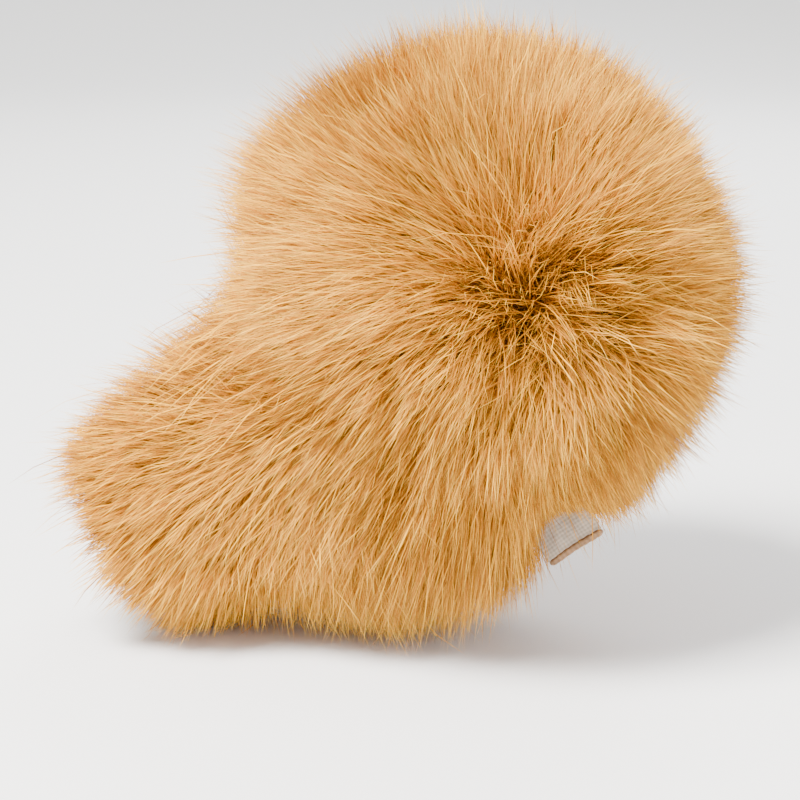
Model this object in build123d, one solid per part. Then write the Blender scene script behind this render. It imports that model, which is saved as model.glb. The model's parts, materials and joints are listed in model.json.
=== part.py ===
from build123d import *
import math
import os

# Long-pile fur windscreen for a short gun microphone, lying on its side at rest.
# A ball-shaped basket with a rear neck holds the microphone, and a sewn fur cover slips over both.
# Every piece is drawn in axis coordinates: x along the microphone's axis towards the nose, origin
# at the ball's centre. place() then tilts the whole object to the way it lies on a table.

# ---- driving dimensions, millimetres and degrees ----
TILT = 35.0              # the nose is higher than the tail when the object lies down
HEAD_R = 72.0            # pile envelope round the ball
TAIL_R = 40.0            # pile envelope round the neck
TAIL_BACK = 95.0         # from the ball's centre back to the centre of the tail's envelope
WAIST_R = 18.0           # hollow blend between the two envelopes
BELLY_R = 50.0           # pile that hangs from the ball down to the table
BELLY_SHIFT = (-16.0, 0.0, -44.0)  # its centre, from the ball's centre, as the object lies
HEAD_HEIGHT = 88.0       # ball centre above the table

BALL_R = 43.0            # basket
CAGE_WALL = 2.2
RIB_WIDTH = 3.0
RIB_PLANES = 4           # planes through the axis, two ribs each
RING_WIDTH = 4.0         # the band that closes each half basket at the equator
MID_RING = (20.0, 23.0)  # the latitude ring, measured along the axis from the equator
HUB_R = 24.0             # solid hub round the neck
SEAM_TURN = 13.0
NOSE_HUB_R = 10.0
NOSE_HOLE_R = 6.0
CAGE_GAP = 0.1           # between the two half baskets
CAP_GAP = 0.15           # round the nose cap, in its hole
CAP_LIP = 1.5            # how far the cap's inner lip reaches past the hole
CAP_LIP_WALL = 1.2
CAP_STEM = 1.3           # inside the cap's edge, from its stem to the hole
FIT = 0.05               # between pieces pushed into one another
OVER = 1.0               # how far a cutting shape runs past what it cuts
FAR = 200.0              # beyond everything

NECK_R = 19.0
NECK_WALL = 2.0
NECK_END = -101.0
NECK_START = -34.7
NECK_FLANGE_R = 21.0
NECK_FLANGE = 1.5
COLLAR_LENGTH = 10.0     # thick end of the neck that takes the gasket and the screws
COLLAR_IN_R = 14.5
MIC_R = 10.0             # bore for the microphone's body

END_RING = 3.0           # ring that holds the gasket in
END_RING_IN_R = 11.5
SCREW_COUNT = 3
SCREW_CIRCLE_R = 16.8
SCREW_R = 0.8
SCREW_HEAD_R = 1.5
SCREW_HEAD = 1.2
SCREW_SLOT = 0.4
SCREW_LENGTH = 8.0

LOCK_RING_R = 40.2       # inner ring with the bayonet lugs
LOCK_RING_WALL = 1.6
LOCK_RING_HALF = 4.0
LUG_COUNT = 3
LUG_R = 41.6
LUG_S = (1.2, 3.2)
LUG_ANGLE = 8.0
TWIST = 25.0             # the front half's unlocking turn
LUG_GAP = 0.3
TRACK_DEPTH = 1.0        # how far inside the ring the grooves start
GROOVE_SLACK = 1.0       # degrees at each end of a groove

INNER_GAP = 0.6          # gauze and foam keep this clear of the rings
FOAM_GAP = 0.2
GAUZE_R = 40.5
GAUZE_WALL = 0.4
FOAM_R = 38.2
FOAM_WALL = 6.0

LINING_R = 44.2          # inside of the cover's cloth lining, over the ball
LINING = 1.0
NECK_LINING_R = 19.5
HOOD_BACK = -8.0         # the stiffer hood in front ends here, just behind the equator
TAPER_START = -33.0      # from here to the neck the lining runs straight down to the sleeve
SLEEVE_START = -52.0     # seam between the rear panels and the sleeve panels
PILE_GAP = 0.4           # between lining and pile
PANEL_GAP = 0.2          # between two fur panels
MOUTH_END = -112.0
MOUTH_HEM = 4.4
MOUTH_IN_R = 17.6
ELASTIC = 1.8
ELASTIC_IN_R = 18.3
ELASTIC_OUT_R = 20.0
ELASTIC_GAP = 0.15       # round the elastic, in its channel

TAB_LENGTH = (-24.0, -7.0)    # plain folded cloth tab in the seam under the head
TAB_DEPTH = (46.0, 68.0)
TAB = 1.0
TAB_ROOM = 0.4
PIPING_R = 1.1

# ---- worked out from the above ----
TILT_RAD = math.radians(TILT)
HEAD_X = (TAIL_BACK * math.cos(TILT_RAD) + TAIL_R - HEAD_R) / 2
COLLAR_FRONT = NECK_END + COLLAR_LENGTH


def place(shape):
    """Tilts a piece from axis coordinates to the way it lies, and stands it over the table."""
    return Pos(HEAD_X, 0, HEAD_HEIGHT) * Rot(0, -TILT, 0) * shape


def rod(radius, low, high):
    """A solid round the axis from low to high."""
    return Pos((low + high) / 2, 0, 0) * Rot(0, 90, 0) * Cylinder(radius, high - low)


def pipe(outer, inner, low, high):
    return rod(outer, low, high) - rod(inner, low - OVER, high + OVER)


def block(x, y, z):
    """A box from three (low, high) pairs."""
    size = [pair[1] - pair[0] for pair in (x, y, z)]
    centre = [(pair[1] + pair[0]) / 2 for pair in (x, y, z)]
    return Pos(*centre) * Box(*size)


def half_space(low, high):
    """Everything near the object between two stations on the axis."""
    return block((low, high), (-FAR, FAR), (-FAR, FAR))


def ball(radius):
    """A sphere with its poles on the axis, and its seam clear of the ribs."""
    return Rot(SEAM_TURN, 0, 0) * Rot(0, 90, 0) * Sphere(radius)


def shell(outer, wall, low, high):
    """Part of a thin hollow sphere between two stations on the axis."""
    return (ball(outer) - ball(outer - wall)) & half_space(low, high)


def wedge(angle, start, radius, low, high):
    """A slice of a disc round the axis, turned to start."""
    points = [(0, 0)]
    points += [
        (2 * radius * math.cos(math.radians(a)), 2 * radius * math.sin(math.radians(a)))
        for a in (start, start + angle / 2, start + angle)
    ]
    face = make_face(Polyline(*points, close=True).edges())
    column = extrude(Plane.XY * face, high - low)
    return Pos(low, 0, 0) * Rot(0, 90, 0) * column & rod(radius, low, high)


# ---- basket ----
def lattice(side):
    """The bars that are kept when a hollow half ball is cut to a basket."""
    bars = [
        Rot(180 * i / RIB_PLANES, 0, 0) * Box(4 * BALL_R, RIB_WIDTH, 4 * BALL_R)
        for i in range(RIB_PLANES)
    ]
    stations = (-RING_WIDTH, RING_WIDTH), sorted(side * edge for edge in MID_RING)
    kept = bars[0].fuse(*bars[1:])
    return kept.fuse(*[half_space(*pair) for pair in stations])


def rear_cage():
    """Rear half of the basket, with a hub that the neck passes through."""
    cage = shell(BALL_R, CAGE_WALL, -BALL_R - OVER, 0)
    cage &= lattice(-1) + rod(HUB_R, -2 * BALL_R, -RING_WIDTH)
    return cage - rod(NECK_R + FIT, -2 * BALL_R, 0)


def front_cage():
    """Front half, with the bayonet grooves that the lugs turn in."""
    cage = shell(BALL_R, CAGE_WALL, CAGE_GAP, BALL_R + OVER)
    cage &= lattice(1) + rod(NOSE_HUB_R, RING_WIDTH, 2 * BALL_R)
    cage -= rod(NOSE_HOLE_R, RING_WIDTH, 2 * BALL_R)
    outer, inner = LUG_R + LUG_GAP, LOCK_RING_R - TRACK_DEPTH
    track = pipe(outer, inner, LUG_S[0] - LUG_GAP, LUG_S[1] + LUG_GAP)
    entry = pipe(outer, inner, -OVER, LUG_S[1] + LUG_GAP)
    reach = (LUG_R + 2 * OVER, -2 * OVER, LUG_S[1] + 3 * OVER)
    mouth = LUG_ANGLE + 2 * GROOVE_SLACK
    for i in range(LUG_COUNT):
        start = 360 * i / LUG_COUNT - LUG_ANGLE / 2 - GROOVE_SLACK - TWIST
        cage -= track & wedge(mouth + TWIST, start, *reach)
        cage -= entry & wedge(mouth, start, *reach)
    return cage


def bayonet_ring():
    """Ring fixed inside the rear half, with lugs that hold the front half on."""
    ring = pipe(LOCK_RING_R, LOCK_RING_R - LOCK_RING_WALL, -LOCK_RING_HALF, LOCK_RING_HALF)
    for i in range(LUG_COUNT):
        lug = pipe(LUG_R, LOCK_RING_R - LOCK_RING_WALL / 2, *LUG_S)
        ring += lug & wedge(LUG_ANGLE, 360 * i / LUG_COUNT - LUG_ANGLE / 2, LUG_R + OVER, *LUG_S)
    return ring


def nose_cap():
    """Small domed cap that snaps into the nose hub."""
    dome = shell(BALL_R, CAGE_WALL, 0, BALL_R + OVER) & rod(NOSE_HOLE_R - CAP_GAP, 0, BALL_R + OVER)
    lip_r = NOSE_HOLE_R + CAP_LIP
    inside = math.sqrt((BALL_R - CAGE_WALL) ** 2 - (lip_r + 2 * CAP_GAP) ** 2) - CAP_GAP
    lip = rod(lip_r, inside - CAP_LIP_WALL, inside)
    stem = rod(NOSE_HOLE_R - CAP_STEM, inside - CAP_LIP_WALL / 2, BALL_R - CAGE_WALL / 2)
    return dome + lip + stem


def gauze(front):
    """Fine acoustic cloth against the inside of a half basket."""
    start = LOCK_RING_HALF + INNER_GAP
    if front:
        return shell(GAUZE_R, GAUZE_WALL, start, GAUZE_R + OVER) - rod(NOSE_HOLE_R + 2, 0, BALL_R)
    cut = rod(NECK_FLANGE_R + INNER_GAP, -BALL_R, 0)
    return shell(GAUZE_R, GAUZE_WALL, -GAUZE_R - OVER, -start) - cut


def foam(front):
    """Open-cell foam that lines a half basket."""
    if front:
        return shell(FOAM_R, FOAM_WALL, FOAM_GAP, FOAM_R + OVER)
    cut = rod(NECK_FLANGE_R + INNER_GAP, -BALL_R, 0)
    return shell(FOAM_R, FOAM_WALL, -FOAM_R - OVER, -FOAM_GAP) - cut


# ---- neck ----
def screw_places():
    return [Rot(360 * i / SCREW_COUNT, 0, 0) * Pos(0, 0, SCREW_CIRCLE_R) for i in range(SCREW_COUNT)]


def neck_tube():
    """Rear neck, flanged inside the ball and thick at the end that holds the gasket."""
    tube = pipe(NECK_R, NECK_R - NECK_WALL, COLLAR_FRONT, NECK_START)
    tube += pipe(NECK_R, COLLAR_IN_R, NECK_END, COLLAR_FRONT + FIT)
    tube += pipe(NECK_FLANGE_R, NECK_R - NECK_WALL, NECK_START - FIT, NECK_START + NECK_FLANGE)
    for spot in screw_places():
        tube -= spot * rod(SCREW_R + FIT, NECK_END - OVER, NECK_END + SCREW_LENGTH - END_RING + OVER)
    return tube


def mic_gasket():
    """Rubber sleeve that grips the microphone's body."""
    return pipe(COLLAR_IN_R - FIT, MIC_R, NECK_END, COLLAR_FRONT)


def end_ring():
    ring = pipe(NECK_R, END_RING_IN_R, NECK_END - END_RING, NECK_END)
    for spot in screw_places():
        ring -= spot * rod(SCREW_R + FIT, NECK_END - END_RING - OVER, NECK_END + OVER)
    return ring


def ring_screws():
    """The screws through the end ring, as one group."""
    outer = NECK_END - END_RING
    screw = rod(SCREW_R, outer - FIT, outer + SCREW_LENGTH)
    head = rod(SCREW_HEAD_R, outer - SCREW_HEAD, outer)
    width = (-SCREW_SLOT / 2, SCREW_SLOT / 2)
    drive = block((outer - SCREW_HEAD - OVER, outer - SCREW_HEAD / 2), width, (-1, 1))
    return Compound(children=[spot * (screw + head - drive) for spot in screw_places()])


# ---- fur cover ----
def pear():
    """The pile round the ball and the neck: two balls joined by a hollow waist."""
    reach_1, reach_2 = HEAD_R + WAIST_R, TAIL_R + WAIST_R
    along = (reach_1**2 - reach_2**2 + TAIL_BACK**2) / (2 * TAIL_BACK)
    out = math.sqrt(reach_1**2 - along**2)
    turn_1 = math.degrees(math.atan2(out, -along))
    turn_2 = math.degrees(math.atan2(out, TAIL_BACK - along))
    edges = [
        CenterArc((0, 0), HEAD_R, 0, turn_1),
        CenterArc((-along, out), WAIST_R, turn_1 - 180, turn_2 - turn_1),
        CenterArc((-TAIL_BACK, 0), TAIL_R, turn_2, 180 - turn_2),
        Line((-TAIL_BACK - TAIL_R, 0), (HEAD_R, 0)),
    ]
    return revolve(make_face(edges), Axis.X)


def tab_room():
    """Space for the tab between the lower rear panels."""
    half = PIPING_R + TAB_ROOM
    return block((TAB_LENGTH[0] - TAB_ROOM, TAB_LENGTH[1] + TAB_ROOM), (-half, half), (-FAR, 0))


def filled_lining(growth):
    """Everything inside the lining, or inside a skin that lies a little outside it."""
    radius = LINING_R + growth
    neck = NECK_LINING_R + growth
    taper_out = math.sqrt(radius**2 - TAPER_START**2)
    reach = TAPER_START + (taper_out - neck) * taper_out / TAPER_START
    corners = (TAPER_START, 0), (TAPER_START, taper_out), (reach, neck), (-FAR, neck), (-FAR, 0)
    taper = revolve(make_face(Polyline(*corners, close=True).edges()), Axis.X)
    front = ball(radius) & half_space(TAPER_START - FIT, FAR)
    return front + rod(radius, HOOD_BACK, 0) + taper


def fur_panels():
    """Four hood panels, two rear panels and two sleeve panels, cut flat by the table."""
    belly = Rot(0, TILT, 0) * Pos(*BELLY_SHIFT) * Sphere(BELLY_R)
    body = pear() + belly - filled_lining(LINING + PILE_GAP) - tab_room()
    edge = PANEL_GAP / 2
    sides = {"left": (edge, FAR), "right": (-FAR, -edge)}
    levels = {"upper": (edge, FAR), "lower": (-FAR, -edge)}
    stretches = {"rear": (SLEEVE_START + edge, HOOD_BACK - edge), "tail": (-FAR, SLEEVE_START - edge)}
    panels = {}
    for side, across in sides.items():
        for stretch, along in stretches.items():
            panels[f"fur_{stretch}_{side}"] = body & block(along, across, (-FAR, FAR))
        for level, height in levels.items():
            panels[f"fur_{level}_{side}"] = body & block((HOOD_BACK + edge, FAR), across, height)
    table = Pos(0, 0, FAR) * Box(3 * FAR, 3 * FAR, 2 * FAR)
    return {name: place(panel) & table for name, panel in panels.items()}


def head_lining():
    """Lining of the hood, which passes over the ball."""
    body = filled_lining(LINING) - filled_lining(0)
    return body & half_space(HOOD_BACK + PANEL_GAP, FAR)


def neck_lining():
    """Lining that hugs the back of the ball and the neck."""
    body = filled_lining(LINING) - filled_lining(0)
    return body & half_space(MOUTH_END + MOUTH_HEM + PANEL_GAP, HOOD_BACK)


def mouth_binding():
    """Hem at the sleeve's mouth, with a channel for the elastic."""
    outer = NECK_LINING_R + LINING
    hem = pipe(outer, MOUTH_IN_R, MOUTH_END, MOUTH_END + MOUTH_HEM)
    middle = MOUTH_END + MOUTH_HEM / 2
    half = ELASTIC / 2 + ELASTIC_GAP
    return hem - pipe(outer + OVER, ELASTIC_IN_R - ELASTIC_GAP, middle - half, middle + half)


def mouth_elastic():
    middle = MOUTH_END + MOUTH_HEM / 2
    return pipe(ELASTIC_OUT_R, ELASTIC_IN_R, middle - ELASTIC / 2, middle + ELASTIC / 2)


# ---- tab under the head ----
def seam_tab():
    """Plain folded cloth tab, sewn into the seam between the rear panels."""
    return block(TAB_LENGTH, (-TAB / 2, TAB / 2), (-TAB_DEPTH[1], -TAB_DEPTH[0]))


def seam_tab_edge():
    """Corded edge of the tab."""
    return Pos(0, 0, -TAB_DEPTH[1] - PIPING_R) * rod(PIPING_R, *TAB_LENGTH)


parts = {
    "neck_tube": place(neck_tube()),
    "mic_gasket": place(mic_gasket()),
    "end_ring": place(end_ring()),
    "ring_screws": place(ring_screws()),
    "rear_cage": place(rear_cage()),
    "bayonet_ring": place(bayonet_ring()),
    "rear_gauze": place(gauze(front=False)),
    "rear_foam": place(foam(front=False)),
    "front_cage": place(front_cage()),
    "front_gauze": place(gauze(front=True)),
    "front_foam": place(foam(front=True)),
    "nose_cap": place(nose_cap()),
    "head_lining": place(head_lining()),
    "neck_lining": place(neck_lining()),
    "mouth_binding": place(mouth_binding()),
    "mouth_elastic": place(mouth_elastic()),
    "seam_tab": place(seam_tab()),
    "seam_tab_edge": place(seam_tab_edge()),
    **fur_panels(),
}

os.makedirs("parts", exist_ok=True)
for name, shape in parts.items():
    export_step(shape, f"parts/{name}.step")
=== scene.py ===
import json
import math

import bpy
import numpy as np
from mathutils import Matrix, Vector

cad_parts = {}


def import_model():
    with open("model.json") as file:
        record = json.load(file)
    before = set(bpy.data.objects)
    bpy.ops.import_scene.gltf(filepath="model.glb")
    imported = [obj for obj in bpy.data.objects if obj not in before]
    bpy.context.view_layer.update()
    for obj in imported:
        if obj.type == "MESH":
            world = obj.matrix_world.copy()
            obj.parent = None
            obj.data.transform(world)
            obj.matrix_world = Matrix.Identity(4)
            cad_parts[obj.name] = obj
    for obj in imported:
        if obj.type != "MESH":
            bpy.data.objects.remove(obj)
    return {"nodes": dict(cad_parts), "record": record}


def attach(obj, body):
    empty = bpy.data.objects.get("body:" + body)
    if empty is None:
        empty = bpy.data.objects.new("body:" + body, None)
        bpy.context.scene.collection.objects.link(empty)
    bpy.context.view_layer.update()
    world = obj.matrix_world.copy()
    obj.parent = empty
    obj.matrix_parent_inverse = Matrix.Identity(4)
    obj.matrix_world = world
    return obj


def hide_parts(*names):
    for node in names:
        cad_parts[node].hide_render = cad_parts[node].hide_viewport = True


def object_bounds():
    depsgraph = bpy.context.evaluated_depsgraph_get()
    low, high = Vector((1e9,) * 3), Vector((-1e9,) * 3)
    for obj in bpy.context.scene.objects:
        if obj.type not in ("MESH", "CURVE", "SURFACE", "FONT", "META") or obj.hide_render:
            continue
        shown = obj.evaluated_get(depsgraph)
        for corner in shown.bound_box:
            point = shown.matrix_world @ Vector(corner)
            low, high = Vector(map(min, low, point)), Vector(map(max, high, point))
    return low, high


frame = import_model()
cad_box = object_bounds()

# A long-pile furry windscreen lying on a table. All sizes are in metres.
# Places are worked out in axis coordinates: "along" runs from the ball's centre to the nose, and
# an angle goes round the axis from the upper side (0) to the left side (90 degrees).

MM = 0.001
JOINTS = {joint["name"]: joint for joint in frame["record"]["behaviour"]["joints"]}
AXIS = np.array(JOINTS["cover_pull"]["axis"], float)
BALL = np.array(JOINTS["bayonet_twist"]["pos_m"], float)
LEFT = np.array((0.0, 1.0, 0.0))
RISE = np.cross(AXIS, LEFT)
UP = np.array((0.0, 0.0, 1.0))

# ---- cover, driving sizes ----
LINING_R = 44.2 * MM        # inside of the lining over the ball
NECK_LINING_R = 19.5 * MM   # and round the neck
TAPER_START = -33 * MM      # behind this station the lining runs straight down to the sleeve
HOOD_BACK = -8 * MM
SLEEVE_START = -52 * MM
SLEEVE_END = -107.4 * MM
FABRIC = (1.5 * MM, 0.8 * MM)   # the fur fabric's backing: outside of the lining, and its thickness
LINING = (0.15 * MM, 0.6 * MM)
PANEL_EDGE = 0.15 * MM

# ---- pile ----
# Tips end on round shapes that run into one another: centre from the ball and radius, in mm.
PILE_SHAPES = (
    ((0, 0, 5), 73),        # head
    ((-39, 0, 30), 33),     # tuft at its back
    ((-50, 0, -28), 39),    # waist
    ((-76, 0, -52), 42.5),  # tail
    ((-16, 0, -44), 51.5),  # belly
    ((-45, 0, -57), 35),    # between tail and belly
)
SHAPE_BLEND = 7 * MM
DENT = np.array((-1.0, 0.0, 0.06))  # the head's shape is shallower at the back
DENT_DEPTH = 10 * MM
DENT_WIDTH = 0.05           # as a change of the cosine from its middle
STEPS = 14                  # small steps that find a strand's path
REACH = 70 * MM             # the longest path looked at
SEED = 7
# The two ends of the parting on each side, as directions from the ball's centre.
WHORL = np.array(((0.30, 0.93, 0.33), (0.52, 0.83, 0.25)))
WHORL_REACH = (0.08, 0.5)   # sine of the angle from the parting: all whorl, and no whorl
LIE = 2.0                   # how much the pile lies away from the whorl, against standing up
SLEEVE_BLEND = (-66 * MM, -30 * MM)  # from brushed back along the sleeve to brushed over the ball
FAN_BACK = 62 * MM          # the sleeve's pile fans out from a point so far behind the ball
DROOP = 0.45                # how far a strand bends down over its whole reach
GATHER = (0.20, 0.70)       # how far tips come together in the loosest and tightest locks
WAVES = 0.28                # slow bends in the way that neighbouring locks lie
WAVE_COUNT, WAVE_PACE = 7, 75   # how many add up, and their pace in radians to the metre
LOCK_LEAN = 0.15            # random lean that a lock's strands share
STRAND_LEAN = (0.30, 0.09)  # and each strand's own: stray hairs, others
CURL = 0.028
LEAST_RISE = 0.26           # the least that a strand stands up from the skin
STRAND_WIDTH = 0.31 * MM
WIDTH_RANGE = (0.65, 1.25)  # of that width
TAPER = (0.9, 1.0, 0.85, 0.6)   # of a strand's width at each level below its tip
TWIST = 0.55                # how unevenly strands face
GUARD_HAIRS = 0.115         # share of strands that reach the outer shape; the rest is underfur
UNDERFUR = (2.5 * MM, 17 * MM)  # how much shorter it is
LOCK_TIP, STRAND_TIP = 3.0 * MM, 2.2 * MM   # spread of tips between locks, and inside one
STRAY_HAIRS = 0.06          # share
LOCK_SHADE = (0.5, 0.25)    # from 0, khaki, to 1, pale gold: mean and spread of the locks
STRAND_SHADE = 0.20         # spread inside a lock
LAYER_SHADE = (0.28, -0.16)  # guard hairs are paler, underfur is darker
LONG_STRAYS = 9 * MM        # how far the longest stray hairs pass the outer shape
BELLY_PAINTED_SHADE = (0.12, 0.38)  # painted shade that darkens the pile under the ball: guard hairs, underfur
BELLY_Z = (-12 * MM, 14 * MM)   # where that sets in: from and to, below the ball's centre
BELLY_X = (-45 * MM, -18 * MM)  # and in front of it
LEVELS = 5                  # points kept along a strand; the last one is its tip
STRANDS_PER_PIECE = 27000
LOCKS = 7200
STRANDS_PER_LOCK = 36
LOCK_SPREAD = 1.9 * MM
STRIP = 0.002               # half width of a strand's strip on the map
TABLE_GAP = (0.6 * MM, 0.9 * MM)    # strands that lie on the table: lowest, and how much higher
PILE_MAP = "OFBake"         # name of the pile's map, which holds each strand's shade and height

# ---- tab under the head ----
TAB_LENGTH = (-24 * MM, -7 * MM)
TAB_DEPTH = (46 * MM, 68 * MM)
PIPING_R = 1.0 * MM
PARTING = (10.5 * MM, 10.0 * MM)  # half sizes of the gap in the pile that the tab shows through
PARTING_EDGE = (0.4, 1.5)   # how unevenly strands end there
PARTING_LIFT = 3.5 * MM     # its middle, above the tab's free end
PARTING_RISE = math.radians(14)     # it is open towards the front and a little up
CROSSING = 0.03             # share of strands that pass over it


# ---------------------------------------------------------------- mesh helpers
def world(along, angle, radius):
    """Points from axis coordinates; arrays in, an (n, 3) array out."""
    along, angle, radius = np.broadcast_arrays(along, angle, radius)
    out = np.cos(angle)[..., None] * RISE + np.sin(angle)[..., None] * LEFT
    return BALL + along[..., None] * AXIS + radius[..., None] * out


def unit(v):
    return v / np.maximum(np.linalg.norm(v, axis=-1, keepdims=True), 1e-12)


def mesh_object(name, points, faces, uv=None, uv_name="UVMap", smooth=True):
    """A mesh from arrays; faces is (n, 3) or (n, 4)."""
    mesh = bpy.data.meshes.new(name)
    size = faces.shape[1]
    mesh.vertices.add(len(points))
    mesh.vertices.foreach_set("co", np.asarray(points, np.float32).ravel())
    mesh.loops.add(faces.size)
    mesh.loops.foreach_set("vertex_index", faces.astype(np.int32).ravel())
    mesh.polygons.add(len(faces))
    mesh.polygons.foreach_set("loop_start", np.arange(0, faces.size, size, dtype=np.int32))
    mesh.polygons.foreach_set("use_smooth", np.full(len(faces), smooth))
    mesh.update(calc_edges=True)
    if uv is not None:
        layer = mesh.uv_layers.new(name=uv_name)
        layer.data.foreach_set("uv", np.asarray(uv, np.float32)[faces.ravel()].ravel())
    obj = bpy.data.objects.new(name, mesh)
    bpy.context.scene.collection.objects.link(obj)
    return obj


# ---------------------------------------------------------------- material helpers
def new_material(name, roughness=0.6, **values):
    """A Principled material with plain values on its own sockets."""
    mat = bpy.data.materials.new(name)
    mat.use_nodes = True
    shader = mat.node_tree.nodes["Principled BSDF"]
    shader.inputs["Roughness"].default_value = roughness
    for socket, value in values.items():
        shader.inputs[socket.replace("_", " ")].default_value = value
    return mat, mat.node_tree, shader


def node(tree, kind, **settings):
    made = tree.nodes.new(kind)
    for key, value in settings.items():
        if hasattr(made, key):
            setattr(made, key, value)
        else:
            made.inputs[key.replace("_", " ")].default_value = value
    return made


def ramp(tree, factor, stops):
    """A colour ramp through (place, colour) stops."""
    made = tree.nodes.new("ShaderNodeValToRGB")
    elements = made.color_ramp.elements
    while len(elements) < len(stops):
        elements.new(0.5)
    for element, (place, colour) in zip(elements, stops):
        element.position = place
        element.color = (*colour, 1)
    tree.links.new(factor, made.inputs["Fac"])
    return made.outputs["Color"]


def mix(tree, factor, a, b, mode="MIX"):
    made = tree.nodes.new("ShaderNodeMix")
    made.data_type = "RGBA"
    made.blend_type = mode
    for socket, value in ((made.inputs[0], factor), (made.inputs[6], a), (made.inputs[7], b)):
        if isinstance(value, (int, float)):
            socket.default_value = value
        elif isinstance(value, tuple):
            socket.default_value = (*value, 1)
        else:
            tree.links.new(value, socket)
    return made.outputs[2]


def pile_material():
    """Acrylic pile: dark at the root, pale at the tip, each strand its own shade.

    The map's first number is the strand's shade, from khaki to pale gold, its second the height."""
    mat, tree, shader = new_material("pile", roughness=0.5, Specular_IOR_Level=0.14)
    place = node(tree, "ShaderNodeUVMap", uv_map=PILE_MAP)
    parts = tree.nodes.new("ShaderNodeSeparateXYZ")
    tree.links.new(place.outputs["UV"], parts.inputs[0])
    shade, height = parts.outputs["X"], parts.outputs["Y"]
    # the darkening towards the root is partly painted shade deep in the pile, and the pale tips are
    # partly a painted highlight
    dark = ramp(tree, height, [
        (0.0, (0.04, 0.009, 0.0004)), (0.35, (0.18, 0.056, 0.002)),
        (0.75, (0.42, 0.155, 0.008)), (1.0, (0.58, 0.27, 0.035))])
    light = ramp(tree, height, [
        (0.0, (0.17, 0.052, 0.003)), (0.3, (0.66, 0.27, 0.014)),
        (0.7, (1.0, 0.50, 0.030)), (1.0, (1.0, 0.66, 0.11))])
    tone = mix(tree, shade, dark, light)
    noise = node(tree, "ShaderNodeTexNoise", Scale=1.0, Detail=3.0)
    stretch = node(tree, "ShaderNodeMapping")
    stretch.inputs["Scale"].default_value = (310.0, 3.0, 1.0)
    tree.links.new(place.outputs["UV"], stretch.inputs["Vector"])
    tree.links.new(stretch.outputs["Vector"], noise.inputs["Vector"])
    streak = ramp(tree, noise.outputs["Fac"], [
        (0.3, (0.78, 0.76, 0.74)), (0.7, (1.16, 1.15, 1.12))])
    tree.links.new(mix(tree, 1.0, tone, streak, "MULTIPLY"), shader.inputs["Base Color"])
    return mat


def woven(name, warp, weft, threads, roughness, bump=0.0, **values):
    """Plain weave or knit: two sets of threads, a number to the millimetre, with a little wear."""
    mat, tree, shader = new_material(name, roughness, **values)
    place = node(tree, "ShaderNodeUVMap", uv_map="UVMap")
    waves = []
    for direction in ("X", "Y"):
        wave = node(tree, "ShaderNodeTexWave", bands_direction=direction,
                    Scale=threads * 314.0, Distortion=0.6, Detail=1.0)
        tree.links.new(place.outputs["UV"], wave.inputs["Vector"])
        waves.append(wave.outputs["Fac"])
    cross = mix(tree, 0.5, waves[0], waves[1])
    tone = mix(tree, cross, warp, weft)
    noise = node(tree, "ShaderNodeTexNoise", Scale=420.0, Detail=4.0)
    tree.links.new(place.outputs["UV"], noise.inputs["Vector"])
    wear = ramp(tree, noise.outputs["Fac"], [(0.3, (0.82, 0.82, 0.82)), (0.7, (1.1, 1.1, 1.1))])
    tree.links.new(mix(tree, 1.0, tone, wear, "MULTIPLY"), shader.inputs["Base Color"])
    if bump:
        add_bump(tree, shader, cross, bump)
    return mat


def add_bump(tree, shader, height, strength, distance=0.0003):
    made = node(tree, "ShaderNodeBump", Strength=strength, Distance=distance)
    tree.links.new(height, made.inputs["Height"])
    tree.links.new(made.outputs["Normal"], shader.inputs["Normal"])


def mottled(name, dark, light, scale, roughness, stretch=(1, 1, 1), bump=0.0, **values):
    """A moulded or metal face: two close tones in a fine noise, which may be drawn out one way."""
    mat, tree, shader = new_material(name, roughness, **values)
    place = tree.nodes.new("ShaderNodeTexCoord")
    mapping = node(tree, "ShaderNodeMapping")
    mapping.inputs["Scale"].default_value = stretch
    noise = node(tree, "ShaderNodeTexNoise", Scale=scale, Detail=6.0)
    tree.links.new(place.outputs["Object"], mapping.inputs["Vector"])
    tree.links.new(mapping.outputs["Vector"], noise.inputs["Vector"])
    tone = ramp(tree, noise.outputs["Fac"], [(0.3, dark), (0.7, light)])
    tree.links.new(tone, shader.inputs["Base Color"])
    if bump:
        add_bump(tree, shader, noise.outputs["Fac"], bump)
    return mat


HARD = {
    "cage_plastic": ("rear_cage", "front_cage", "neck_tube"),
    "ring_plastic": ("bayonet_ring", "end_ring", "nose_cap"),
    "gasket_rubber": ("mic_gasket",),
    "screw_steel": ("ring_screws",),
}


def finish_hard_nodes():
    finishes = {
        "cage_plastic": mottled(
            "cage_plastic", (0.017, 0.017, 0.018), (0.036, 0.036, 0.038), 1500.0, 0.46,
            bump=0.12, Specular_IOR_Level=0.45),
        "ring_plastic": mottled(
            "ring_plastic", (0.034, 0.034, 0.036), (0.062, 0.062, 0.065), 900.0, 0.36,
            Specular_IOR_Level=0.5),
        "gasket_rubber": mottled(
            "gasket_rubber", (0.016, 0.015, 0.015), (0.034, 0.032, 0.031), 700.0, 0.72,
            Specular_IOR_Level=0.3),
        "screw_steel": mottled(
            "screw_steel", (0.42, 0.42, 0.43), (0.66, 0.66, 0.67), 500.0, 0.30,
            stretch=(1, 12, 1), Metallic=1.0),
    }
    for slot, names in HARD.items():
        for name in names:
            materials = frame["nodes"][name].data.materials
            materials.clear()
            materials.append(finishes[slot])


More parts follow.
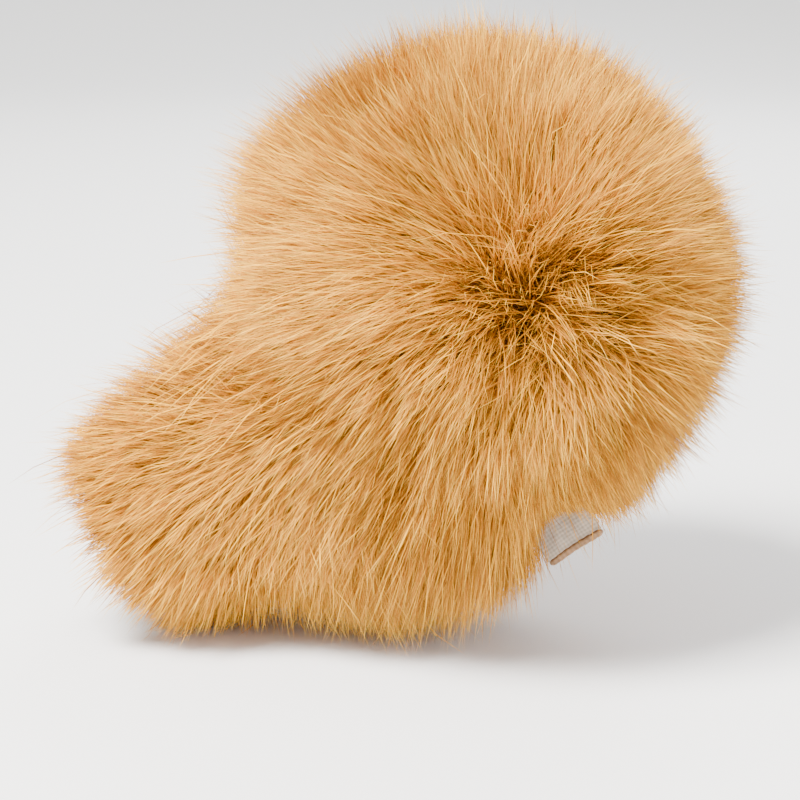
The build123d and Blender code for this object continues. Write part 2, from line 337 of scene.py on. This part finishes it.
# ---------------------------------------------------------------- the cover's skin
def outline(growth, back=SLEEVE_END, steps=400):
    """A layer that lies growth outside the lining's inner face: stations, radii and normals,
    evenly spaced from the sleeve's mouth to the nose."""
    ball, neck = LINING_R + growth, NECK_LINING_R + growth
    top = math.sqrt(ball**2 - TAPER_START**2)
    reach = TAPER_START + (top - neck) * top / TAPER_START
    turn = np.linspace(math.asin(TAPER_START / ball), math.pi / 2, 600)
    along = np.concatenate([[back, reach], ball * np.sin(turn)])
    radius = np.concatenate([[neck, neck], ball * np.cos(turn)])
    run = np.concatenate([[0], np.cumsum(np.hypot(np.diff(along), np.diff(radius)))])
    even = np.linspace(0, run[-1], steps)
    along, radius = np.interp(even, run, along), np.interp(even, run, radius)
    return with_normals(along, np.maximum(radius, 1e-5))


def with_normals(along, radius):
    dl, dr = np.gradient(along), np.gradient(radius)
    size = np.hypot(dl, dr)
    return along, radius, -dr / size, dl / size


PROFILE = outline(sum(FABRIC) - 0.3 * MM)
PROFILE_STEP = float(np.hypot(PROFILE[0][1] - PROFILE[0][0], PROFILE[1][1] - PROFILE[1][0]))


def scatter(rng, count):
    """Even random places on the skin: place along the outline, and angle."""
    radius = PROFILE[1]
    share = np.concatenate([[0], np.cumsum((radius[1:] + radius[:-1]) / 2)])
    place = np.interp(rng.random(count), share / share[-1], np.arange(len(radius)))
    return place, rng.random(count) * 2 * math.pi


def skin_at(place):
    index = np.arange(len(PROFILE[0]))
    return [np.interp(place, index, column) for column in PROFILE]


def smooth_step(x, low, high):
    t = np.clip((x - low) / (high - low), 0, 1)
    return t * t * (3 - 2 * t)


def skin_point(place, angle):
    along, radius, n_along, n_out = skin_at(place)
    out = np.cos(angle)[:, None] * RISE + np.sin(angle)[:, None] * LEFT
    return world(along, angle, radius), unit(n_along[:, None] * AXIS + n_out[:, None] * out)


# ---------------------------------------------------------------- strands
def room_left(points):
    """How far inside the pile's outer shape points are; below 0 is outside."""
    left = np.full(points.shape[:-1], -1.0)
    facing = np.sum(unit(points - BALL) * DENT, axis=-1)
    dent = DENT_DEPTH * np.exp((facing - 1) / DENT_WIDTH)
    for centre, radius in PILE_SHAPES:
        inside = radius * MM - np.linalg.norm(points - BALL - np.array(centre) * MM, axis=-1) - dent
        dent = 0
        near = np.maximum(SHAPE_BLEND - np.abs(left - inside), 0)
        left = np.maximum(left, inside) + near**2 / (4 * SHAPE_BLEND)
    return left


def slow_waves(rng, points):
    """Smooth random directions that change over a few centimetres."""
    total = np.zeros(points.shape)
    for _ in range(WAVE_COUNT):
        wave = rng.normal(0, WAVE_PACE, 3)
        total += rng.normal(0, 1, 3) * np.sin(points @ wave + rng.uniform(0, 6.3))[:, None]
    return total / math.sqrt(WAVE_COUNT)


def lie_of(root, out):
    """The way the pile is brushed: away from the whorls on the ball, and back along the sleeve.
    Also how near each root is to a whorl, from 0 to 1."""
    side = np.where(root[:, 1:2] > 0, 1, -1) ** np.array((0, 1, 0))
    run = WHORL[1] - WHORL[0]
    share = np.clip((out * side - WHORL[0]) @ run / (run @ run), 0, 1)
    near = unit(WHORL[0] + share[:, None] * run) * side
    facing = np.sum(out * near, axis=1, keepdims=True)
    away = unit(out - facing * near)
    whorl = 1 - smooth_step(np.sqrt(np.maximum(1 - facing**2, 0)), *WHORL_REACH)
    whorl *= facing > 0
    along = (root - BALL) @ AXIS
    tail = 1 - smooth_step(along, *SLEEVE_BLEND)[:, None]
    from_inside = unit(root - (BALL - FAN_BACK * AXIS))
    back = unit(0.9 * from_inside - 0.45 * AXIS)
    ball = unit(out + LIE * (1 - 0.75 * whorl) * away)
    return ball * (1 - tail) + (0.3 * out + back) * tail, whorl * (1 - tail)


def grow(rng):
    """Strand roots, start directions and shades, lock by lock."""
    locks, each = LOCKS, STRANDS_PER_LOCK
    place, angle = scatter(rng, locks)
    lean = np.repeat(rng.normal(0, LOCK_LEAN, (locks, 3)), each, axis=0)
    lock_shade = np.repeat(np.clip(rng.normal(*LOCK_SHADE, locks), 0, 1), each)
    lock_tip = np.repeat(rng.normal(0, LOCK_TIP, locks), each)
    gather = np.repeat(rng.uniform(*GATHER, locks), each)
    hub = np.repeat(np.arange(locks), each)
    count = len(hub)
    place = place[hub] + rng.normal(0, LOCK_SPREAD / PROFILE_STEP, count)
    place = np.clip(place, 0, len(PROFILE[0]) - 1.001)
    round_it = np.maximum(skin_at(place)[1], 3 * MM)
    angle = (angle[hub] + rng.normal(0, LOCK_SPREAD, count) / round_it) % (2 * math.pi)
    root, out = skin_point(place, angle)
    lie, whorl = lie_of(root, out)
    stray = rng.random(count) < STRAY_HAIRS
    spread = np.where(stray, *STRAND_LEAN)[:, None]
    lean = lean * (1 + 1.6 * whorl) + WAVES * (1 + whorl) * slow_waves(rng, root)
    start = unit(unit(lie) + lean + rng.normal(0, 1, root.shape) * spread)
    rise = np.sum(start * out, axis=1, keepdims=True)
    start = unit(start + np.maximum(LEAST_RISE - rise, 0) * out)
    guard = stray | (rng.random(count) < GUARD_HAIRS)
    shade = lock_shade + rng.normal(0, STRAND_SHADE, count) + np.where(guard, *LAYER_SHADE)
    # painted shade on the pile under the ball, deepest on the underfur between the locks
    place_x, place_z = root[:, 0] - BALL[0], root[:, 2] - BALL[2]
    painted_shade_below = smooth_step(-place_z, *BELLY_Z) * smooth_step(place_x, *BELLY_X)
    shade -= painted_shade_below * np.where(guard, *BELLY_PAINTED_SHADE)
    shade = np.clip(shade, 0.02, 0.98)
    end = lock_tip + rng.normal(0, STRAND_TIP, count)
    sideways = 1 - np.abs(start[:, 2])
    end += np.where(stray, LONG_STRAYS * sideways * rng.random(count)**2, 0)
    shorter = UNDERFUR[0] + (UNDERFUR[1] - UNDERFUR[0]) * rng.random(count)**1.3
    end -= np.where(guard, 0, shorter)
    return dict(root=root, out=out, start=start, shade=shade, hub=hub, end=end, gather=gather,
                along=(root - BALL) @ AXIS, turn=angle)


def in_parting(points, size):
    """Whether points are in the gap in front of the tab, out to a share of its half sizes."""
    level = points - BALL + points[..., 1:2] * math.tan(PARTING_RISE) * UP
    along = level @ AXIS - sum(TAB_LENGTH) / 2
    depth = -(level @ RISE) - (TAB_DEPTH[1] - PARTING_LIFT)
    inside = (along / PARTING[0]) ** 2 + (depth / PARTING[1]) ** 2 < size
    return inside & (points[..., 1] < 2 * MM)


def shape_strands(rng, s):
    """Points along each strand: it leaves the skin, bends under its weight, gathers to its lock,
    and ends where the pile's outer shape ends."""
    count = len(s["root"])
    step = REACH / STEPS
    path = np.empty((STEPS + 1, count, 3))
    path[0] = s["root"] - 0.5 * MM * s["out"]
    direction = s["start"]
    curl = rng.normal(0, CURL, (count, 3))
    for k in range(1, STEPS + 1):
        direction = unit(direction - DROOP / STEPS * (0.5 + k / STEPS) * UP + curl)
        path[k] = path[k - 1] + step * direction
    free = room_left(path) + s["end"]
    gap = rng.uniform(*PARTING_EDGE, count) * (rng.random(count) > CROSSING)
    stop = (free < 0) | in_parting(path, gap)
    stop[:3] = False
    first = np.where(stop.any(0), stop.argmax(0), STEPS)
    each = np.arange(count)
    before, after = np.maximum(free[first - 1, each], 0), np.maximum(-free[first, each], 1e-6)
    last = np.maximum(first - 1 + before / (before + after), 1.5)
    points = np.empty((LEVELS, count, 3))
    for level in range(LEVELS):
        at = last * level / (LEVELS - 1)
        low = np.minimum(at.astype(int), STEPS - 1)
        part = (at - low)[:, None]
        points[level] = path[low, each] * (1 - part) + path[low + 1, each] * part
    middle = np.empty_like(points)
    members = np.bincount(s["hub"])
    for level in range(LEVELS):
        for axis in range(3):
            total = np.bincount(s["hub"], weights=points[level, :, axis])
            middle[level, :, axis] = (total / members)[s["hub"]]
    share = (np.arange(LEVELS) / (LEVELS - 1))[:, None, None]
    points += s["gather"][:, None] * share**1.5 * (middle - points)
    floor = TABLE_GAP[0] + TABLE_GAP[1] * rng.random(count)
    for level in range(1, LEVELS):
        low = points[level, :, 2] < floor
        points[level, low, 2] = floor[low]
    return points


def ribbons(name, rng, points, out, shade, material):
    """Flat tapered strands, each turned a little differently, as one mesh."""
    count = points.shape[1]
    along = unit(points[1:] - points[:-1])
    facing = unit(out + 0.4 * UP + rng.normal(0, TWIST, out.shape))
    width = STRAND_WIDTH * rng.uniform(*WIDTH_RANGE, count)[:, None]
    corners = np.empty((2 * LEVELS - 1, count, 3))
    for level in range(LEVELS - 1):
        side = unit(np.cross(along[level], facing)) * width * TAPER[level] / 2
        corners[2 * level] = points[level] - side
        corners[2 * level + 1] = points[level] + side
    corners[-1] = points[-1]
    size = 2 * LEVELS - 1
    base = (np.arange(count) * size)[:, None]
    one = []
    for level in range(LEVELS - 2):
        k = 2 * level
        one += [(k, k + 1, k + 3), (k, k + 3, k + 2)]
    one.append((size - 3, size - 2, size - 1))
    faces = (base[:, :, None] + np.array(one)[None]).reshape(-1, 3)
    uv = np.empty((count, size, 2))
    uv[:, :, 1] = np.repeat(np.linspace(0.02, 0.98, LEVELS), 2)[:size]
    sides = np.tile((-STRIP, STRIP), LEVELS)[:size]
    sides[-1] = 0
    uv[:, :, 0] = np.clip(shade[:, None] + sides, 0.001, 0.999)
    obj = mesh_object(name, corners.transpose(1, 0, 2).reshape(-1, 3), faces,
                      uv.reshape(-1, 2), PILE_MAP)
    obj.data.materials.append(material)
    return obj


def panel_of(s):
    """Which sewn panel each strand grows from."""
    side = np.where(np.sin(s["turn"]) > 0, "left", "right")
    level = np.where(np.cos(s["turn"]) > 0, "upper_", "lower_")
    names = np.char.add(level, side)
    names = np.where(s["along"] < HOOD_BACK, np.char.add("rear_", side), names)
    return np.where(s["along"] < SLEEVE_START, np.char.add("tail_", side), names)


def make_pile(material):
    """The pile of every panel: {panel: [pieces]}."""
    rng = np.random.default_rng(SEED)
    s = grow(rng)
    points = shape_strands(rng, s)
    panels = panel_of(s)
    made = {}
    for panel in sorted(set(panels)):
        chosen = np.flatnonzero(panels == panel)
        chosen = chosen[rng.permutation(len(chosen))]
        batches = math.ceil(len(chosen) / STRANDS_PER_PIECE)
        made[panel] = []
        for number, batch in enumerate(np.array_split(chosen, batches)):
            piece = ribbons(f"pile_{panel}_{number + 1}", rng, points[:, batch],
                            s["out"][batch], s["shade"][batch], material)
            add_piece(piece, "cover", "fur", f"fur_{panel}")
            made[panel].append(piece)
    return made


# ---------------------------------------------------------------- cloth and foam
def add_piece(piece, body, slot, *nodes):
    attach(piece, body)
    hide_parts(*nodes)


def grid_faces(rows, cols, first=0, wrap=False):
    """Quads of a grid of points, row by row."""
    r, c = np.meshgrid(np.arange(rows - 1), np.arange(cols if wrap else cols - 1), indexing="ij")
    a = first + r * cols + c
    b = first + r * cols + (c + 1) % cols
    return np.stack([a, b, b + cols, a + cols], -1).reshape(-1, 4)


def layer(name, profile, turns, thick, material, columns, wave=None):
    """A thin closed layer round the axis: an outline, turned between two angles."""
    along, radius, n_along, n_out = profile
    wrap = turns[1] - turns[0] > 2 * math.pi - 0.01
    angles = np.linspace(*turns, columns, endpoint=not wrap)
    a, t = np.meshgrid(np.arange(len(along)), angles, indexing="ij")
    lift = wave(along[a], t) if wave else np.zeros(a.shape)
    grids = []
    for face in (lift, lift + thick):
        grids.append(world(along[a] + n_along[a] * face, t, radius[a] + n_out[a] * face))
    points = np.concatenate([g.reshape(-1, 3) for g in grids])
    rows, size = len(along), len(along) * columns
    inner = grid_faces(rows, columns, 0, wrap)
    outer = grid_faces(rows, columns, size, wrap)[:, ::-1]
    rims = [(np.arange(columns), 1), (size - columns + np.arange(columns), -1)]
    if not wrap:
        rims += [(np.arange(rows) * columns, -1), (np.arange(rows) * columns + columns - 1, 1)]
    faces = [inner, outer]
    for edge, way in rims:
        following = np.roll(edge, -1)
        if not (wrap and len(edge) == columns):
            edge, following = edge[:-1], following[:-1]
        quad = np.stack([edge, edge + size, following + size, following], -1)
        faces.append(quad if way > 0 else quad[:, ::-1])
    run = np.concatenate([[0], np.cumsum(np.hypot(np.diff(along), np.diff(radius)))])
    flat = np.stack([t * radius.max(), run[a]], -1).reshape(-1, 2)
    obj = mesh_object(name, points, np.concatenate(faces), np.concatenate([flat, flat]))
    obj.data.materials.append(material)
    return obj


def part_of(profile, low, high, rows):
    """A stretch of an outline between two stations, with evenly spaced points."""
    index = np.arange(len(profile[0]))
    first, last = np.interp([low, high], profile[0], index)
    at = np.linspace(first, last, rows)
    return [np.interp(at, index, column) for column in profile]


# How each panel's cloth goes round the axis, in quarter turns.
QUARTERS = {
    "upper_left": (0, 1), "lower_left": (1, 2), "lower_right": (2, 3), "upper_right": (3, 4)}
HALVES = {"left": (0, 2), "right": (2, 4)}


def make_fabric(material):
    """Fur fabric under the pile, one piece of cloth for each sewn panel."""
    whole = outline(FABRIC[0])
    cuts = [(panel, HOOD_BACK + PANEL_EDGE, 1.0, turns) for panel, turns in QUARTERS.items()]
    for side, turns in HALVES.items():
        cuts.append((f"rear_{side}", SLEEVE_START + PANEL_EDGE, HOOD_BACK - PANEL_EDGE, turns))
        cuts.append((f"tail_{side}", SLEEVE_END, SLEEVE_START - PANEL_EDGE, turns))
    for panel, low, high, turns in cuts:
        profile = part_of(whole, low, high, 60)
        angles = [turn * math.pi / 2 for turn in turns]
        angles = (angles[0] + 0.004, angles[1] - 0.004)
        cloth = layer(f"fabric_{panel}", profile, angles, FABRIC[1], material, 70)
        add_piece(cloth, "cover", "fur", f"fur_{panel}")


def gathers(along, turn):
    """Folds that the elastic pulls into the cloth, deepest at the mouth."""
    depth = smooth_step(-along, 92 * MM, 111 * MM)
    return 0.45 * MM * depth * (np.sin(34 * turn) + 0.4 * np.sin(51 * turn + 1.3))


def make_linings(cloth, binding, elastic):
    whole = outline(LINING[0])
    full = (0, 2 * math.pi)
    hood = part_of(whole, HOOD_BACK + 0.3 * MM, 1.0, 90)
    head = layer("lining_head", hood, full, LINING[1], cloth, 200)
    add_piece(head, "cover", "lining_cloth", "head_lining")
    hem = lathe("hem", hem_section(), gathers, binding)
    add_piece(hem, "cover", "binding_cloth", "mouth_binding")
    band = lathe("elastic_band", band_section(), gathers, elastic)
    add_piece(band, "cover", "elastic", "mouth_elastic")
    back = part_of(whole, SLEEVE_END, HOOD_BACK, 130)
    neck = layer("lining_neck", back, full, LINING[1], cloth, 240, gathers)
    add_piece(neck, "cover", "lining_cloth", "neck_lining")


def rounded(points, rounds=2):
    """A closed outline with its corners cut off smoothly."""
    points = np.array(points, float)
    for _ in range(rounds):
        after = np.roll(points, -1, axis=0)
        cut = [0.8 * points + 0.2 * after, 0.2 * points + 0.8 * after]
        points = np.stack(cut, 1).reshape(-1, 2)
    return points


def hem_section():
    """Cross-section of the folded hem: a channel that is open outwards."""
    return MM * rounded([
        (-112.0, 17.6), (-107.6, 17.6), (-107.6, 20.5), (-108.5, 20.5), (-108.5, 18.2),
        (-111.1, 18.2), (-111.1, 20.5), (-112.0, 20.5)])


def band_section():
    return MM * rounded([(-110.7, 18.4), (-108.9, 18.4), (-108.9, 19.9), (-110.7, 19.9)])


def lathe(name, section, wave, material, columns=300):
    """A closed cross-section turned right round the axis."""
    rows = len(section)
    turn = np.linspace(0, 2 * math.pi, columns, endpoint=False)
    i, t = np.meshgrid(np.arange(rows + 1) % rows, turn, indexing="ij")
    along = section[:, 0][i]
    points = world(along, t, section[:, 1][i] + wave(along, t))
    points = points[:rows].reshape(-1, 3)
    faces = grid_faces(rows + 1, columns, 0, True)
    faces = np.where(faces >= rows * columns, faces - rows * columns, faces)
    run = np.linspace(0, 0.01, rows)
    uv = np.stack([t[:rows] * 20 * MM, run[i[:rows]]], -1).reshape(-1, 2)
    obj = mesh_object(name, points, faces, uv)
    obj.data.materials.append(material)
    return obj


def arc(radius, low, high, rows):
    """Outline of a ball's shell between two stations."""
    turn = np.linspace(math.asin(low / radius), math.asin(high / radius), rows)
    return radius * np.sin(turn), radius * np.cos(turn), np.sin(turn), np.cos(turn)


def cells(along, turn):
    """Uneven face of open-cell foam."""
    return 0.12 * MM * (
        np.sin(along * 2900 + 3 * np.sin(23 * turn)) * np.sin(61 * turn + 2 * np.sin(along * 1700)))


def make_inner_soft(gauze_cloth, foam_stuff):
    full = (0, 2 * math.pi)
    hole, flange = 8.2 * MM, 21.8 * MM
    gauze_in, foam_in, foam_out = 40.1 * MM, 32.5 * MM, 38.0 * MM
    gauze_edge, foam_edge, pole = 4.8 * MM, 0.5 * MM, foam_in - MM / 10
    halves = {
        "front": ("front_basket", gauze_edge, math.sqrt(gauze_in**2 - hole**2), foam_edge, pole),
        "rear": ("core", -math.sqrt(gauze_in**2 - flange**2), -gauze_edge,
                 -math.sqrt(foam_in**2 - flange**2), -foam_edge)}
    for half, (body, low, high, foam_low, foam_high) in halves.items():
        profile = arc(gauze_in, low, high, 70)
        gauze = layer(f"gauze_{half}", profile, full, 0.3 * MM, gauze_cloth, 200)
        add_piece(gauze, body, "gauze", f"{half}_gauze")
        foam = layer(f"foam_{half}", arc(foam_in, foam_low, foam_high, 130), full,
                     foam_out - foam_in, foam_stuff, 360, cells)
        add_piece(foam, body, "foam", f"{half}_foam")


# ---------------------------------------------------------------- tab
def tab_sway(along, depth):
    """How far the hanging tab bends sideways."""
    down = (depth - TAB_DEPTH[0]) / (TAB_DEPTH[1] - TAB_DEPTH[0])
    return -1.6 * MM * down**2 + 0.5 * MM * down * np.sin(along * 420 + 2.0) \
        + 0.25 * MM * down * np.sin(depth * 700 + along * 150)


def tab_point(along, depth, across):
    return BALL + along[..., None] * AXIS - depth[..., None] * RISE + across[..., None] * LEFT


def make_tab(cloth, piping):
    rows, columns = 60, 44
    along, depth = np.meshgrid(np.linspace(*TAB_LENGTH, columns), np.linspace(*TAB_DEPTH, rows))
    sway = tab_sway(along, depth)
    half = 0.28 * MM + 0.10 * MM * np.sin(along * 900) * np.sin(depth * 800)
    sides = [tab_point(along, depth, sway + way * half).reshape(-1, 3) for way in (1, -1)]
    size = rows * columns
    faces = [grid_faces(rows, columns), grid_faces(rows, columns, size)[:, ::-1]]
    line = np.concatenate([
        np.arange(columns), np.arange(1, rows) * columns + columns - 1,
        size - 2 - np.arange(columns - 1), np.arange(rows - 2, -1, -1) * columns])
    a, b = line[:-1], line[1:]
    faces.append(np.stack([a, a + size, b + size, b], -1))
    flat = np.stack([along, depth], -1).reshape(-1, 2)
    tab = mesh_object("tab", np.concatenate(sides), np.concatenate(faces),
                      np.concatenate([flat, flat]))
    tab.data.materials.append(cloth)
    add_piece(tab, "cover", "tab_cloth", "seam_tab")
    edge = corded_edge(piping)


def corded_edge(material):
    """Corded edge that follows the tab's free end, with a slight twist in its thickness."""
    rows, columns = 90, 20
    along = np.linspace(*TAB_LENGTH, rows)
    depth = np.full(rows, TAB_DEPTH[1] + 0.7 * PIPING_R)
    middle = tab_point(along, depth, tab_sway(along, depth))
    turn = np.linspace(0, 2 * math.pi, columns, endpoint=False)
    taper = np.sqrt(np.clip(1 - np.abs(np.linspace(-1, 1, rows)) ** 14, 0.02, 1))
    strand = 1 + 0.06 * np.sin(3 * turn[None] + along[:, None] * 2600)
    radius = PIPING_R * taper[:, None] * strand
    out = np.cos(turn)[None, :, None] * RISE + np.sin(turn)[None, :, None] * LEFT
    points = (middle[:, None] + radius[..., None] * out).reshape(-1, 3)
    tube = grid_faces(rows, columns, 0, True)
    size, ring = rows * columns, np.arange(columns)
    after = (ring + 1) % columns
    first = np.stack([np.full(columns, size), after, ring], -1)
    last = np.stack([np.full(columns, size + 1), size - columns + ring,
                     size - columns + after], -1)
    faces = np.concatenate([tube[:, :3], tube[:, [0, 2, 3]], first, last])
    uv = np.stack(np.meshgrid(along, turn * PIPING_R, indexing="ij"), -1).reshape(-1, 2)
    edge = mesh_object("tab_edge", np.concatenate([points, middle[[0, -1]]]), faces,
                       np.concatenate([uv, uv[[0, -1]]]))
    edge.data.materials.append(material)
    add_piece(edge, "cover", "piping", "seam_tab_edge")
    return edge


# ---------------------------------------------------------------- stage
def make_stage():
    """A pale floor that rises smoothly behind the object."""
    half, bend, back = 3.0, 0.9, 1.1
    turn = np.linspace(0, math.pi / 2, 24)
    y = np.concatenate([[-half], back + bend * np.sin(turn), [back + bend]])
    z = np.concatenate([[0], bend * (1 - np.cos(turn)), [3 * half]])
    points = np.array([(x, b, c) for b, c in zip(y, z) for x in (-half, half)])
    sweep = mesh_object("floor", points, grid_faces(len(y), 2))
    mat, _, shader = new_material("floor_paint", roughness=0.9)
    shader.inputs["Base Color"].default_value = (0.94, 0.94, 0.94, 1)
    sweep.data.materials.append(mat)


def area_light(name, where, size, power, colour=(1, 1, 1)):
    lamp = bpy.data.lights.new(name, "AREA")
    lamp.energy = power
    lamp.size = size
    lamp.color = colour
    obj = bpy.data.objects.new(name, lamp)
    obj.location = where
    aim = Vector(BALL) - Vector(where)
    obj.rotation_euler = aim.to_track_quat("-Z", "Y").to_euler()
    bpy.context.scene.collection.objects.link(obj)


def make_lights():
    area_light("key", (-0.42, -0.42, 1.05), 0.45, 60, (1.0, 0.98, 0.94))
    area_light("fill", (0.8, -0.7, 0.45), 0.8, 6, (0.97, 0.98, 1.0))
    area_light("rim", (0.2, 0.9, 0.7), 0.6, 12)
    sky = bpy.data.worlds.new("studio")
    sky.use_nodes = True
    background = sky.node_tree.nodes["Background"]
    background.inputs["Color"].default_value = (1.0, 1.0, 1.0, 1)
    background.inputs["Strength"].default_value = 0.80
    bpy.context.scene.world = sky


def make_camera():
    low, high = (np.array(corner) for corner in cad_box)
    lens, sensor, distance = 120.0, 36.0, 0.712
    elevation = math.radians(14)
    azimuth = math.radians(3)
    middle = (low + high) / 2 + np.array((0.0020, 0, -0.0175))
    back = np.array((
        math.sin(azimuth) * math.cos(elevation), -math.cos(azimuth) * math.cos(elevation),
        math.sin(elevation)))
    camera = bpy.data.cameras.new("camera")
    camera.lens, camera.sensor_width = lens, sensor
    camera.clip_start, camera.clip_end = 0.01, 50
    obj = bpy.data.objects.new("camera", camera)
    obj.location = Vector(middle + back * distance)
    obj.rotation_euler = (-Vector(back)).to_track_quat("-Z", "Y").to_euler()
    bpy.context.scene.collection.objects.link(obj)
    bpy.context.scene.camera = obj


make_camera()
make_stage()
make_lights()
finish_hard_nodes()
pile = make_pile(pile_material())
make_fabric(woven("fur_backing", (0.20, 0.10, 0.03), (0.30, 0.16, 0.06), 1.1, 0.8))
make_linings(
    woven("lining_cloth", (0.22, 0.16, 0.10), (0.36, 0.28, 0.19), 1.4, 0.85, 0.5),
    woven("binding_cloth", (0.17, 0.11, 0.06), (0.28, 0.19, 0.12), 2.0, 0.8, 0.4),
    woven("elastic_cover", (0.02, 0.02, 0.02), (0.07, 0.07, 0.07), 1.6, 0.7, 0.4))
make_inner_soft(
    woven("gauze", (0.035, 0.035, 0.035), (0.15, 0.15, 0.15), 1.2, 0.75, 0.3),
    mottled("foam", (0.012, 0.012, 0.012), (0.075, 0.075, 0.078), 1300.0, 0.95, bump=0.8))
make_tab(
    woven("tab_cloth", (0.42, 0.35, 0.27), (0.64, 0.54, 0.43), 1.0, 0.7, 0.4),
    woven("piping", (0.30, 0.16, 0.07), (0.52, 0.32, 0.17), 0.7, 0.65, 0.3))
